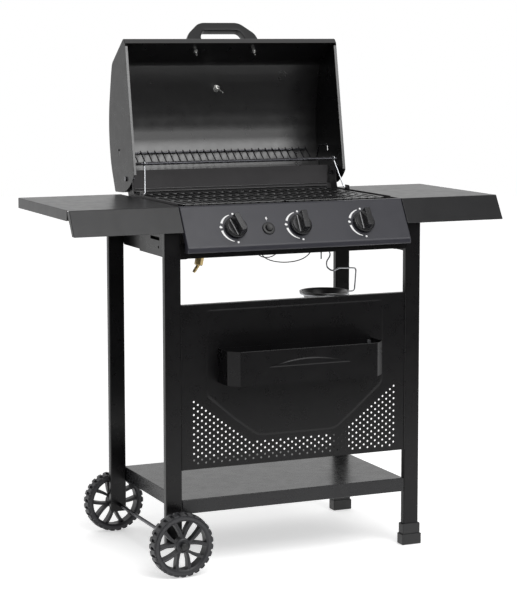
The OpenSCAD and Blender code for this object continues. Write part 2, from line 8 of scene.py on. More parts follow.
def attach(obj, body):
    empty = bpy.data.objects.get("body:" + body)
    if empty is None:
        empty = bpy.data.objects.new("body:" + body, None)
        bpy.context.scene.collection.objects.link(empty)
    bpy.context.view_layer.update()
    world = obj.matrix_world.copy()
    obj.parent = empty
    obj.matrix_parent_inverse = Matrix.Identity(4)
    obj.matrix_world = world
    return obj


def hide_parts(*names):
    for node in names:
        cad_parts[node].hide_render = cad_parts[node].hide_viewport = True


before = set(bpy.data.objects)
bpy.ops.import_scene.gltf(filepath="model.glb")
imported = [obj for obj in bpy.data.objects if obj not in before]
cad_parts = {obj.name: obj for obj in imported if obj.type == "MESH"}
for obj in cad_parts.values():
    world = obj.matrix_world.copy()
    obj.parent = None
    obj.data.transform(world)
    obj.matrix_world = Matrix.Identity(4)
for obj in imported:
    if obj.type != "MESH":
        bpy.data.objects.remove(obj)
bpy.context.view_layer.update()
scene = bpy.context.scene
MM = 0.001

# Sizes that several pieces share, in millimetres, as the CAD model has them.
TABLE_TOP = 858.0  # height of the two side tables
EDGE_Y = -185.0  # front edge of the tables, where the slope starts
SLOPE = math.radians(30.58)  # lean of the control panel and the table aprons, from upright
FRONT_Y = -204.0  # front face of the legs, the front panel and the shelf
DECK_X = 293.0  # half the distance between the left and right legs
LEG = (40.0, 18.0)  # width and depth of a leg tube
TRAY_DEPTH = 81.0  # how far the tool tray stands off the front panel
WHEEL_X, WHEEL_R = -313.0, 76.0  # x of the axle, and the wheels' radius and axle height
CONTROLS = (-161, 5, 171)  # x of the three knobs
CONTROL_DROP = 60.0  # from the table edge down the slope to the knobs
IGNITER_X = CONTROLS[1] - 83
CUP_X, CUP_RIM = 171.0, 617.0  # middle of the grease cup, and the height of its rim
FRAME = "trolley"  # the body that all fixed pieces ride on

# ------------------------------------------------------------------ camera

AZIMUTH = math.radians(24.065)
DOWN = math.radians(6.837)
look = Vector(
    (math.sin(AZIMUTH) * math.cos(DOWN), math.cos(AZIMUTH) * math.cos(DOWN), -math.sin(DOWN))
)
cam_data = bpy.data.cameras.new("camera")
cam_data.lens = 118.0
cam_data.shift_x = -0.030
cam_data.shift_y = -0.0507
camera = bpy.data.objects.new("camera", cam_data)
scene.collection.objects.link(camera)
camera.location = (-1.9311, -4.4134, 1.2550)
camera.rotation_mode = "QUATERNION"
camera.rotation_quaternion = look.to_track_quat("-Z", "Y")
scene.camera = camera

# --------------------------------------------------------------- materials


def new_material(name):
    """An empty node material with a shader, its output and texture coordinates."""
    m = bpy.data.materials.new(name)
    m.use_nodes = True
    nt = m.node_tree
    nt.nodes.clear()
    out = nt.nodes.new("ShaderNodeOutputMaterial")
    bsdf = nt.nodes.new("ShaderNodeBsdfPrincipled")
    nt.links.new(bsdf.outputs[0], out.inputs[0])
    coord = nt.nodes.new("ShaderNodeTexCoord")
    return m, nt, bsdf, coord


def noise(nt, coord, scale, detail=2.0, rough=0.5, stretch=None):
    n = nt.nodes.new("ShaderNodeTexNoise")
    n.inputs["Scale"].default_value = scale
    n.inputs["Detail"].default_value = detail
    n.inputs["Roughness"].default_value = rough
    source = coord.outputs["Object"]
    if stretch:
        mapping = nt.nodes.new("ShaderNodeMapping")
        mapping.inputs["Scale"].default_value = stretch
        nt.links.new(source, mapping.inputs["Vector"])
        source = mapping.outputs[0]
    nt.links.new(source, n.inputs["Vector"])
    return n.outputs["Fac"]


def ramp(nt, fac, low, high):
    r = nt.nodes.new("ShaderNodeValToRGB")
    r.color_ramp.elements[0].position = 0.3
    r.color_ramp.elements[1].position = 0.7
    r.color_ramp.elements[0].color = (*low, 1)
    r.color_ramp.elements[1].color = (*high, 1)
    nt.links.new(fac, r.inputs[0])
    return r.outputs[0]


def map_range(nt, fac, low, high, a=0.3, b=0.7):
    r = nt.nodes.new("ShaderNodeMapRange")
    r.inputs["From Min"].default_value = a
    r.inputs["From Max"].default_value = b
    r.inputs["To Min"].default_value = low
    r.inputs["To Max"].default_value = high
    nt.links.new(fac, r.inputs["Value"])
    return r.outputs[0]


def bump(nt, bsdf, height, strength, distance):
    b = nt.nodes.new("ShaderNodeBump")
    b.inputs["Strength"].default_value = strength
    b.inputs["Distance"].default_value = distance
    nt.links.new(height, b.inputs["Height"])
    nt.links.new(b.outputs[0], bsdf.inputs["Normal"])


def finish_of(
    name, color, rough, spread=0.05, metallic=0.0, vary=0.12, patch=7.0,
    grain=900.0, grain_strength=0.12, grain_depth=0.0002, stretch=None, gloss=0.5,
):
    """A painted, moulded or metal surface with mottled colour, uneven gloss and fine grain."""
    m, nt, bsdf, coord = new_material(name)
    low = tuple(c * (1 - vary) for c in color)
    high = tuple(min(1.0, c * (1 + vary)) for c in color)
    nt.links.new(ramp(nt, noise(nt, coord, patch, 4.0), low, high), bsdf.inputs["Base Color"])
    cloudy = noise(nt, coord, patch * 5.3, 3.0, 0.6, stretch)
    nt.links.new(map_range(nt, cloudy, rough - spread, rough + spread), bsdf.inputs["Roughness"])
    bsdf.inputs["Metallic"].default_value = metallic
    bsdf.inputs["Specular IOR Level"].default_value = gloss
    fine = noise(nt, coord, grain, 2.0, 0.5, stretch)
    bump(nt, bsdf, fine, grain_strength, grain_depth)
    return m


FINISHES = {
    "frame": finish_of(
        "frame_powder_coat", (0.0044, 0.0042, 0.0046), 0.29, 0.03, gloss=0.25
    ),
    "table": finish_of(
        "table_powder_coat", (0.013, 0.013, 0.014), 0.31, 0.03, grain_strength=0.03,
        grain_depth=0.00005, gloss=0.30
    ),
    "shelf": finish_of(
        "shelf_powder_coat", (0.009, 0.009, 0.010), 0.27, 0.03, grain_strength=0.03,
        grain_depth=0.00005, gloss=0.36
    ),
    "panel": finish_of("panel_paint", (0.018, 0.018, 0.025), 0.40, 0.04, vary=0.06),
    "enamel": finish_of("lid_enamel", (0.0070, 0.0068, 0.0072), 0.30, 0.03, gloss=1.0),
    "lid_side": finish_of("lid_end_enamel", (0.0065, 0.0065, 0.007), 0.30, 0.04, gloss=0.3),
    "enamel_in": finish_of("firebox_enamel", (0.055, 0.053, 0.055), 0.36, 0.05, gloss=0.3),
    "grate": finish_of("grate_enamel", (0.012, 0.012, 0.0125), 0.30, 0.06, grain=400.0, gloss=1.0),
    "wheel": finish_of(
        "wheel_plastic", (0.022, 0.022, 0.025), 0.46, 0.05, grain=1500.0, grain_strength=0.2
    ),
    "grip": finish_of(
        "grip_plastic", (0.008, 0.008, 0.0085), 0.42, 0.05, grain=1400.0, grain_strength=0.2
    ),
    "knob": finish_of("knob_plastic", (0.006, 0.006, 0.007), 0.26, 0.04, grain=1600.0),
    "foot": finish_of(
        "foot_plastic", (0.009, 0.009, 0.0095), 0.48, 0.05, grain=1300.0, grain_strength=0.25
    ),
    "chrome": finish_of(
        "chrome_wire", (0.52, 0.53, 0.55), 0.18, 0.04, metallic=1.0, vary=0.05, patch=30.0
    ),
    "zinc": finish_of(
        "zinc_plate", (0.50, 0.51, 0.53), 0.34, 0.06, metallic=1.0, vary=0.1, patch=60.0
    ),
    "steel": finish_of(
        "burner_steel", (0.42, 0.41, 0.40), 0.40, 0.08, metallic=1.0, vary=0.14, patch=25.0,
        stretch=(1.0, 0.05, 1.0),
    ),
    "brass": finish_of(
        "brass", (0.50, 0.38, 0.18), 0.30, 0.06, metallic=1.0, vary=0.1, patch=80.0
    ),
    "ceramic": finish_of("ceramic", (0.80, 0.78, 0.73), 0.2, 0.04, vary=0.04, patch=50.0),
    "nut": finish_of(
        "bright_nut", (0.85, 0.85, 0.83), 0.26, 0.05, metallic=1.0, vary=0.05, patch=60.0
    ),
    "wire": finish_of(
        "rack_wire", (0.10, 0.10, 0.11), 0.22, 0.05, metallic=1.0, vary=0.1, patch=30.0
    ),
    "soot": finish_of("heat_tent_steel", (0.006, 0.006, 0.0062), 0.5, 0.06, gloss=0.2),
    "rubber": finish_of("lead_sleeve", (0.014, 0.014, 0.015), 0.5, 0.06, grain=2000.0),
    "mark": finish_of("white_print", (0.78, 0.78, 0.78), 0.5, 0.04, vary=0.03, patch=90.0),
    # light grey of the line at each knob bar's foot: partly print, partly a painted highlight on
    # that edge
    "pointer_and_highlight": finish_of("pointer_print_and_highlight", (0.50, 0.50, 0.51), 0.4, 0.04, vary=0.05, patch=90.0),
}

# ----------------------------------------------------------- shape helpers


def rounded(points, radius, seg=4, closed=False):
    """Rounds the corners of a line or loop in 2-D or 3-D. radius is one number or one per point."""
    n = len(points)
    radii = list(radius) if isinstance(radius, (list, tuple)) else [radius] * n
    out = []
    for i, p in enumerate(points):
        p = Vector(p)
        if (not closed and i in (0, n - 1)) or radii[i] <= 0:
            out.append(tuple(p))
            continue
        a, b = Vector(points[i - 1]), Vector(points[(i + 1) % n])
        u, v = a - p, b - p
        lu, lv = u.length, v.length
        u.normalize()
        v.normalize()
        turn = math.pi - math.acos(max(-1.0, min(1.0, u.dot(v))))
        if turn < 1e-3:
            out.append(tuple(p))
            continue
        back = min(radii[i] * math.tan(turn / 2), lu * 0.49, lv * 0.49)
        for k in range(seg + 1):
            t = k / seg
            s, e = p + u * back, p + v * back
            # weighted so that the curve is a true circular arc
            w = math.cos(turn / 2)
            q0, q1, q2 = (1 - t) ** 2, 2 * t * (1 - t) * w, t * t
            out.append(tuple((s * q0 + p * q1 + e * q2) / (q0 + q1 + q2)))
    return out


def thick(path, t):
    """Closed outline of a sheet of thickness t on the left of an open 2-D path."""
    pts = [Vector(p) for p in path]
    inner = []
    for i, p in enumerate(pts):
        a = (p - pts[i - 1]).normalized() if i else (pts[1] - p).normalized()
        b = (pts[i + 1] - p).normalized() if i < len(pts) - 1 else a
        na, nb = Vector((-a.y, a.x)), Vector((-b.y, b.x))
        m = (na + nb).normalized()
        inner.append(tuple(p + m * t / max(0.3, m.dot(na))))
    return [tuple(p) for p in pts] + inner[::-1]


def sharpen(mesh, angle=38.0):
    """Smooth shading with edges sharper than the angle kept crisp."""
    bm = bmesh.new()
    bm.from_mesh(mesh)
    bmesh.ops.remove_doubles(bm, verts=bm.verts, dist=1e-6)
    bmesh.ops.recalc_face_normals(bm, faces=bm.faces)
    limit = math.radians(angle)
    for f in bm.faces:
        f.smooth = True
    for e in bm.edges:
        e.smooth = len(e.link_faces) == 2 and e.calc_face_angle(0.0) < limit
    bm.to_mesh(mesh)
    bm.free()


def piece(name, mesh, material, body, replaces=(), angle=38.0, weighted=True):
    """Shows a mesh as a piece of the grill, riding on a body. angle keeps sharper edges crisp."""
    o = bpy.data.objects.new(name, mesh)
    scene.collection.objects.link(o)
    mesh.materials.append(FINISHES[material])
    sharpen(mesh, angle)
    if weighted:
        w = o.modifiers.new("weighted", "WEIGHTED_NORMAL")
        w.keep_sharp = True
    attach(o, body)
    if replaces:
        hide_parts(*replaces)
    return o


class Shape:
    """Collects the vertices, in millimetres, and the faces of one mesh."""

    def __init__(self):
        self.verts, self.faces = [], []

    def add(self, verts, faces, matrix=None):
        base = len(self.verts)
        self.verts += [tuple(matrix @ Vector(p)) if matrix else tuple(p) for p in verts]
        self.faces += [tuple(base + i for i in face) for face in faces]
        return self

    def loft(self, rings, matrix=None, ends="both", closed=False):
        """Joins rings of equally many points. ends is both, last or none."""
        n, m = len(rings[0]), len(rings)
        faces = []
        for i in range(m if closed else m - 1):
            a, b = i * n, (i + 1) % m * n
            faces += [(a + k, a + (k + 1) % n, b + (k + 1) % n, b + k) for k in range(n)]
        if ends == "both":
            faces.append(tuple(range(n))[::-1])
        if ends != "none":
            faces.append(tuple(range((m - 1) * n, m * n)))
        return self.add([p for ring_points in rings for p in ring_points], faces, matrix)

    def prism(self, outline, axis, a, b, matrix=None):
        """Extrudes a closed 2-D outline: x takes (y, z), y takes (x, z), z takes (x, y)."""
        place = {
            "x": lambda p, h: (h, p[0], p[1]),
            "y": lambda p, h: (p[0], h, p[1]),
            "z": lambda p, h: (p[0], p[1], h),
        }[axis]
        return self.loft([[place(p, h) for p in outline] for h in (a, b)], matrix)

    def box(self, a, b, r=0.0, matrix=None, seg=2):
        """A box between two corners, with edges rounded by r."""
        if r <= 0:
            verts = [(x, y, z) for z in (a[2], b[2]) for y in (a[1], b[1]) for x in (a[0], b[0])]
            faces = [
                (0, 2, 3, 1), (4, 5, 7, 6), (0, 1, 5, 4), (2, 6, 7, 3), (0, 4, 6, 2), (1, 3, 7, 5)
            ]
            return self.add(verts, faces, matrix)
        bm = bmesh.new()
        bmesh.ops.create_cube(bm, size=1.0)
        for p in bm.verts:
            p.co = Vector(a[i] + (b[i] - a[i]) * (p.co[i] + 0.5) for i in range(3))
        bmesh.ops.bevel(
            bm, geom=bm.edges[:], offset=r, segments=seg, affect="EDGES", profile=0.5
        )
        verts = [tuple(p.co) for p in bm.verts]
        faces = [tuple(q.index for q in face.verts) for face in bm.faces]
        bm.free()
        return self.add(verts, faces, matrix)

    def lathe(self, profile, n=48, matrix=None):
        """Turns (radius, height) points about Z. A radius of 0 closes an end."""
        verts, faces, rows = [], [], []
        for r, z in profile:
            if r <= 1e-6:
                rows.append([len(verts)] * n)
                verts.append((0, 0, z))
            else:
                rows.append(list(range(len(verts), len(verts) + n)))
                verts += [
                    (r * math.cos(2 * math.pi * k / n), r * math.sin(2 * math.pi * k / n), z)
                    for k in range(n)
                ]
        for a, b in zip(rows, rows[1:]):
            for k in range(n):
                q = [a[k], a[(k + 1) % n], b[(k + 1) % n], b[k]]
                q = [x for i, x in enumerate(q) if x not in q[:i]]
                if len(q) > 2:
                    faces.append(tuple(q))
        return self.add(verts, faces, matrix)

    def tube(self, path, r, n=10, closed=False):
        """A round bar of radius r along a path, its ring turned as little as the path allows."""
        pts = [Vector(p) for p in path]
        m = len(pts)
        rings = []
        side = None
        for i, p in enumerate(pts):
            if closed:
                t = (pts[(i + 1) % m] - pts[i - 1]).normalized()
            else:
                t = (pts[min(i + 1, m - 1)] - pts[max(i - 1, 0)]).normalized()
            if side is None:
                side = t.orthogonal().normalized()
            side = (side - t * side.dot(t)).normalized()
            other = t.cross(side)
            turns = [2 * math.pi * k / n for k in range(n)]
            rings.append(
                [tuple(p + (side * math.cos(a) + other * math.sin(a)) * r) for a in turns]
            )
        return self.loft(rings, ends="none" if closed else "both", closed=closed)

    def mesh(self, name):
        mesh = bpy.data.meshes.new(name)
        mesh.from_pydata([tuple(c * MM for c in p) for p in self.verts], [], self.faces)
        mesh.validate()
        return mesh


def folded(name, corners, faces, fold, gauge, seg=4):
    """A folded sheet: outer faces in millimetres, with rounded folds and a real thickness."""
    mesh = bpy.data.meshes.new(name)
    mesh.from_pydata([tuple(c * MM for c in p) for p in corners], [], faces)
    bm = bmesh.new()
    bm.from_mesh(mesh)
    bmesh.ops.recalc_face_normals(bm, faces=bm.faces)
    bm.to_mesh(mesh)
    bm.free()
    o = bpy.data.objects.new(name, mesh)
    scene.collection.objects.link(o)
    b = o.modifiers.new("fold", "BEVEL")
    b.width = fold * MM
    b.segments = seg
    b.angle_limit = math.radians(20)
    s = o.modifiers.new("gauge", "SOLIDIFY")
    s.thickness = gauge * MM
    s.offset = -1.0
    return bake(o, name)


def bake(o, name):
    """The object's final mesh, with its modifiers applied; the object itself is removed."""
    graph = bpy.context.evaluated_depsgraph_get()
    mesh = bpy.data.meshes.new_from_object(o.evaluated_get(graph), depsgraph=graph)
    mesh.name = name
    old = o.data
    bpy.data.objects.remove(o)
    if old.users == 0 and isinstance(old, bpy.types.Mesh):
        bpy.data.meshes.remove(old)
    return mesh


def plate(name, loops, gauge, matrix):
    """A flat sheet with round or shaped holes: loops in millimetres, the first is the outline."""
    curve = bpy.data.curves.new(name, "CURVE")
    curve.dimensions = "2D"
    curve.fill_mode = "BOTH"
    curve.extrude = gauge * MM / 2
    for loop in loops:
        s = curve.splines.new("POLY")
        s.points.add(len(loop) - 1)
        for p, q in zip(s.points, loop):
            p.co = (q[0] * MM, q[1] * MM, 0, 1)
        s.use_cyclic_u = True
    o = bpy.data.objects.new(name, curve)
    scene.collection.objects.link(o)
    mesh = bake(o, name)
    bpy.data.curves.remove(curve)
    mesh.materials.clear()
    mesh.transform(matrix)
    return mesh


def ring(x, z, r, n):
    turns = [2 * math.pi * k / n for k in range(n)]
    return [(x + r * math.cos(a), z + r * math.sin(a)) for a in turns]


def smooth_line(points, n):
    """The same curve through route points as the CAD model's leads."""
    out = []
    last = len(points) - 1
    for i in range(last):
        a, b = Vector(points[max(i - 1, 0)]), Vector(points[i])
        c, e = Vector(points[i + 1]), Vector(points[min(i + 2, last)])
        for k in range(n):
            t = k / n
            out.append(
                0.5
                * (
                    2 * b
                    + (c - a) * t
                    + (2 * a - 5 * b + 4 * c - e) * t * t
                    + (3 * b - a - 3 * c + e) * t * t * t
                )
            )
    return out + [Vector(points[last])]


# ------------------------------------------------------------------- leads

LEADS = {
    "igniter_lead": (
        2.6,
        [
            (-77, -194, 781), (-77, -194, 772), (-78, -189, 762), (-80, -184, 751),
            (-80, -183, 741), (-74, -183, 731), (-58, -183, 722.5), (-36, -183, 717.5),
            (-14, -183, 716), (10, -183, 718), (32, -183, 725), (47, -182, 737),
            (54, -178, 751), (57, -170, 764), (56, -161, 773), (56, -152.2, 775),
        ],
    ),
    "earth_lead": (
        2.4,
        [
            (-86, -193, 784), (-88, -193, 774), (-91, -188, 762), (-93, -182, 750),
            (-89, -179, 740), (-79, -178, 732), (-64, -178, 729), (-49, -178, 732),
            (-38, -177, 740), (-36, -173, 753), (-41, -167, 765), (-46, -159, 773),
            (-46, -149, 775),
        ],
    ),
}
for node, (diameter, route) in LEADS.items():
    line = smooth_line(route, 4)
    lead = piece(
        node + "_sleeve", Shape().tube(line, diameter / 2, 12).mesh(node), "rubber",
        "trolley", [node], weighted=False,
    )

# ------------------------------------------------------------------- frame



def slope_at(d, h):
    """(y, z) at a distance d down the slope from the table edge and h off its face."""
    return (
        EDGE_Y - d * math.sin(SLOPE) - h * math.cos(SLOPE),
        TABLE_TOP - d * math.cos(SLOPE) + h * math.sin(SLOPE),
    )


def legs():
    """Four posts; the left two end just below the axle, the right two in their feet."""
    width, depth = LEG
    for side, x, low in (("left", -DECK_X - width, 58), ("right", DECK_X, 20)):
        for end, y in (("front", FRONT_Y), ("back", -FRONT_Y - depth)):
            name = f"leg_{end}_{side}"
            outline = rounded(
                [(x, y), (x + width, y), (x + width, y + depth), (x, y + depth)], 3.0, 4,
                closed=True,
            )
            shape = Shape().prism(outline, "z", low, 815)
            piece(name + "_tube", shape.mesh(name), "frame", FRAME, [name])


legs()


def feet():
    width, depth = LEG
    for name, middle in (("foot_front", -195), ("foot_back", 195)):
        shape = Shape()
        for grow, low, high in ((3.5, 26, 53), (6.0, 0, 27)):
            shape.box(
                (DECK_X - grow, middle - depth / 2 - grow, low),
                (DECK_X + width + grow, middle + depth / 2 + grow, high), 2.2, seg=3,
            )
        piece(name + "_cap", shape.mesh(name), "foot", FRAME, [name])


feet()


def side_table(name, s):
    """A sheet with a flat top, a sloping front apron and turned-down edges. s is -1 or 1."""
    inner, outer, back = 290.0 * s, 555.5 * s, 213
    ay, az = slope_at(58 / math.cos(SLOPE), 0)
    corners = [
        (inner, EDGE_Y, TABLE_TOP), (inner, -179, TABLE_TOP), (inner, 200, TABLE_TOP),
        (inner, back, TABLE_TOP), (outer, back, TABLE_TOP), (outer, -168, TABLE_TOP),
        (outer, EDGE_Y, TABLE_TOP), (inner, ay, az), (outer, ay, az), (outer, ay + 15, az),
        (inner, ay + 15, az), (outer, ay + 15, az + 1.5), (outer, -171, 852),
        (outer, -168, 833), (outer, back, 833), (inner, back, 833), (inner, -179, 782),
        (inner, 200, 782),
    ]
    faces = [
        (0, 1, 2, 3, 4, 5, 6), (0, 6, 8, 7), (7, 8, 9, 10), (6, 12, 11, 9, 8),
        (5, 4, 14, 13), (4, 3, 15, 14), (1, 16, 17, 2), (0, 7, 10, 16, 1),
    ]
    mesh = folded(name, corners, faces, 2.6, 1.3)
    piece(name + "_sheet", mesh, "table", FRAME, [name])
    near, far = sorted((outer - s * 1.6, outer - s * 2.8))
    tab = Shape().box((near, -181, 834), (far, -160, 855), 0.2)
    piece(name + "_tab", tab.mesh(name + "_tab"), "table", FRAME)


side_table("table_left", -1)
side_table("table_right", 1)


def shelf():
    top, low = 169, 135
    corners = [
        (x, y, z) for z in (top, low)
        for x, y in ((-DECK_X, FRONT_Y), (DECK_X, FRONT_Y), (DECK_X, -FRONT_Y), (-DECK_X, -FRONT_Y))
    ]
    corners += [(-DECK_X, FRONT_Y + 12, low), (DECK_X, FRONT_Y + 12, low)]
    faces = [(0, 1, 2, 3), (0, 4, 5, 1), (1, 5, 6, 2), (2, 6, 7, 3), (3, 7, 4, 0), (4, 8, 9, 5)]
    mesh = folded("bottom_shelf", corners, faces, 2.4, 1.2)
    piece("bottom_shelf_sheet", mesh, "shelf", FRAME, ["bottom_shelf"])


shelf()


def hole_centres():
    """(x, z) of the panel's vent holes: staggered columns, longer towards both sides."""
    columns, pitch, row_pitch = 53, 525 / 52, 15.44
    for k in range(columns):
        e = min(k, columns - 1 - k)
        rows = 10 - e // 2 if e < 16 else 3
        for r in range(rows):
            yield -262.5 + k * pitch, 262 + r * row_pitch - (k % 2) * row_pitch / 2


def front_panel():
    y, half, low_edge, high_edge = FRONT_Y, DECK_X - 2.5, 242.5, 627.5
    upright = Matrix.Translation((0, (y + 0.6) * MM, 0)) @ Matrix.Rotation(math.pi / 2, 4, "X")
    loops = [[(-half, low_edge), (half, low_edge), (half, high_edge), (-half, high_edge)]]
    loops += [ring(x, z, 2.4, 16) for x, z in hole_centres()]
    face = plate("front_panel", loops, 1.2, upright)
    shape = Shape()
    for turn, z in ((1, low_edge - 2.5), (-1, high_edge + 2.5)):
        path = rounded([(y + 15, z), (y, z), (y, z + turn * 2.6)], 2.4, 5)
        shape.prism(thick(path, -1.2 * turn), "x", -290.6, 290.6)
    for s in (-1, 1):
        path = rounded([(s * DECK_X, y + 15), (s * DECK_X, y), (s * (DECK_X - 2.6), y)], 2.4, 5)
        shape.prism(thick(path, 1.2 * s), "z", low_edge - 2.5, high_edge + 2.5)
    mesh = shape.mesh("front_panel_edges")
    piece("front_panel_edges", mesh, "frame", FRAME)
    piece(
        "front_panel_sheet", face, "frame", FRAME, ["front_panel"], 30.0,
        weighted=False,
    )


def pressed_field():
    """The front panel's pressed field, a shallow pan with soft sides."""
    outline = [
        (-100, 307), (104, 307), (161, 352), (232, 412), (232, 616), (-232, 616), (-232, 412),
        (-161, 352),
    ]
    line = rounded(outline, [46, 46, 20, 30, 8, 8, 30, 20], 8, closed=True)
    rings = [
        [(x * (1 - inset / 230), FRONT_Y - depth, z + (inset if z < 500 else -inset))
         for x, z in line]
        for inset, depth in ((0.0, 0.0), (1.6, 0.3), (3.6, 0.7), (5.5, 0.8))
    ]
    mesh = Shape().loft(rings, ends="last").mesh("front_panel_field")
    piece("front_panel_field", mesh, "frame", FRAME)


front_panel()
pressed_field()


def tray():
    """An open box with cut-off front corners and a rolled rim."""
    y, depth, low, high, gauge = FRONT_Y, TRAY_DEPTH, 444.5, 524.2, 1.3
    path = rounded(
        [(-201, y), (-201, y - depth + 25), (-177, y - depth), (177, y - depth),
         (201, y - depth + 25), (201, y)], 5.0, 6,
    )
    wall = thick(path, gauge)
    shape = Shape().prism(wall, "z", low, high)
    n = len(path)
    middle = [(Vector(wall[i]) + Vector(wall[2 * n - 1 - i])) / 2 for i in range(n)]
    shape.tube([(p.x, p.y, high) for p in middle], 0.8, 8)
    floor = thick(path, 0.9)[n:][::-1]
    shape.prism(floor, "z", low - 1.5, low + 0.7)
    shape.box((-200, y - gauge, low - 1), (200, y - 0.02, high - 0.2))
    piece("tool_tray_box", shape.mesh("tool_tray"), "frame", FRAME, ["tool_tray"])


def tray_pressing():
    """A lens-shaped pressing on the tray's front: a bowed top over a straight base."""
    rings = []
    steps = 40
    for inset, depth in ((0.0, 0.0), (1.2, 0.6), (2.6, 1.2), (4.0, 1.4)):
        base, top, half = 484 + inset * 0.8, 502 - inset, 106 - inset * 2.0
        y = FRONT_Y - TRAY_DEPTH - depth
        across = [-1 + 2 * k / steps for k in range(steps + 1)]
        bow = [(u * half, y, base + (top - base) * (1 - u * u)) for u in across]
        straight = [((1 - 2 * k / steps) * half, y, base) for k in range(1, steps)]
        rings.append(bow + straight)
    mesh = Shape().loft(rings, ends="last").mesh("tool_tray_pressing")
    piece("tool_tray_pressing", mesh, "frame", FRAME)


tray()
tray_pressing()

# ------------------------------------------------------------------ wheels


def tread_block(shape, at, row, low, high):
    """One block of the tread, bevelled towards the wheel's nearer edge."""
    half = 6.9
    wide = [
        (70.5, -half), (75.2, -half + 1.2), (WHEEL_R, 0), (75.2, half - 1.2), (70.5, half)
    ]
    narrow = [(70.5, -half), (74.0, -half + 1.6), (74.6, 0), (74.0, half - 1.6), (70.5, half)]
    ends = (narrow, wide) if row == 0 else (wide, narrow)
    shape.loft([[(*p, z) for p in line] for line, z in zip(ends, (low, high))], at)


def spoke(shape, at, m):
    """A curved spoke with a raised ridge. m is 1 or -1, the way that it bows."""
    hub, rim, steps = 15, 59.5, 8
    inner_side, outer_side, tops = [], [], []
    for i in range(steps + 1):
        t = i / steps
        r = hub + (rim - hub) * t
        bow = math.radians((4 + 17.5 * t ** 0.75) * m)
        half = 3.0 + 1.2 * t
        c, s = math.cos(bow), math.sin(bow)
        inner_side.append((r * c + s * half, r * s - c * half))
        outer_side.append((r * c - s * half, r * s + c * half))
        tops.append(29.5 + 1.5 * t)
    outline = inner_side + outer_side[::-1]
    foot = [(*p, 12) for p in outline]
    crown = [(*p, z) for p, z in zip(outline, tops + tops[::-1])]
    shape.loft([foot, crown], at)
    ridge = [
        ((p[0] + q[0]) / 2, (p[1] + q[1]) / 2, z + 0.2)
        for p, q, z in zip(inner_side, outer_side, tops)
    ]
    shape.tube([at @ Vector(p) for p in ridge], 1.5, 6)


def wheel(name, y0, out):
    """out is -1 for the front wheel, whose outer side faces the front, and 1 for the back one."""
    shape = Shape()
    place = Matrix.Translation((WHEEL_X, y0, WHEEL_R))
    tilt = place @ Matrix.Rotation(-out * math.pi / 2, 4, "X")
    tyre = [
        (58, 5), (58, 31), (60.5, 33), (62, 35), (66, 36), (68.5, 35.4), (70.5, 33), (71.5, 30),
        (71.5, 6), (70.5, 3), (68.5, 0.6), (66, 0), (62, 1), (60.5, 3), (58, 5),
    ]
    shape.lathe(tyre, 100, tilt)
    blocks = 26
    for k in range(blocks):
        for row, (low, high) in enumerate(((2.5, 17.4), (18.6, 33.5))):
            turn = Matrix.Rotation(2 * math.pi * (k + row * 0.5) / blocks, 4, "Z")
            tread_block(shape, tilt @ turn, row, low, high)
    shape.lathe(
        [(4.6, 4), (10, 3), (15, 5), (17, 9), (17, 25), (18.5, 28), (17.5, 31), (14, 32.5),
         (12.5, 31.0), (9.5, 31.0), (4.6, 31.0), (4.6, 4)], 48, tilt,
    )
    for k in range(5):
        turn = Matrix.Rotation(math.radians(72 * k + 18), 4, "Z")
        for m in (1, -1):
            spoke(shape, tilt @ turn, m)
    piece(name + "_moulding", shape.mesh(name), "wheel", name, [name], 34.0)


wheel("wheel_front", -230, -1)
wheel("wheel_back", 208, 1)


def axle_caps():
    shape = Shape()
    for y, s in ((-265.2, -1), (243.2, 1)):
        place = Matrix.Translation((WHEEL_X, y, WHEEL_R))
        place = place @ Matrix.Rotation(-s * math.pi / 2, 4, "X")
        shape.lathe([(4.5, 0), (9, 0), (9, 5), (8.2, 7.4), (6, 8.6), (0, 8.8)], 36, place)
    piece("axle_caps_domed", shape.mesh("axle_caps"), "foot", FRAME,
          ["axle_caps"])


axle_caps()

# ----------------------------------------------------------- control panel


def on_slope(x, d, h=0.0):
    """A place on the sloping panel, its Z square to the panel and its Y up the slope."""
    y, z = slope_at(d, h)
    return Matrix.Translation((x, y, z)) @ Matrix.Rotation(math.pi / 2 - SLOPE, 4, "X")


def control_panel():
    half = 289
    low = slope_at(106.4, 0)
    lip = (low[0] + 0.5, low[1] - 13)
    profile = [
        (EDGE_Y + 15, TABLE_TOP - 16), (EDGE_Y + 15, TABLE_TOP), (EDGE_Y, TABLE_TOP), low, lip,
        (lip[0] + 22, lip[1]),
    ]
    corners = [(x, *p) for x in (-half, half) for p in profile]
    n = len(profile)
    faces = [(i, i + 1, n + i + 1, n + i) for i in range(n - 1)]
    for x, base in ((-half, 0), (half, n)):
        k = len(corners)
        corners += [(x, EDGE_Y + 14, TABLE_TOP - 8), (x, low[0] + 18, low[1] + 6),
                    (x, lip[0] + 16, lip[1])]
        faces.append((base + 2, base + 3, base + 4, k + 2, k + 1, k))
    mesh = folded("control_panel", corners, faces, 3.0, 1.4, 5)
    piece("control_panel_sheet", mesh, "panel", FRAME, ["control_panel"])


control_panel()


def arc_band(r, a0, a1, w0, w1, n=28):
    """The outline of an arc whose width goes from w0 to w1."""
    outside, inside = [], []
    for k in range(n + 1):
        t = k / n
        a = math.radians(a0 + (a1 - a0) * t)
        half = (w0 + (w1 - w0) * t) / 2
        outside.append(((r + half) * math.cos(a), (r + half) * math.sin(a)))
        inside.append(((r - half) * math.cos(a), (r - half) * math.sin(a)))
    return outside + inside[::-1]


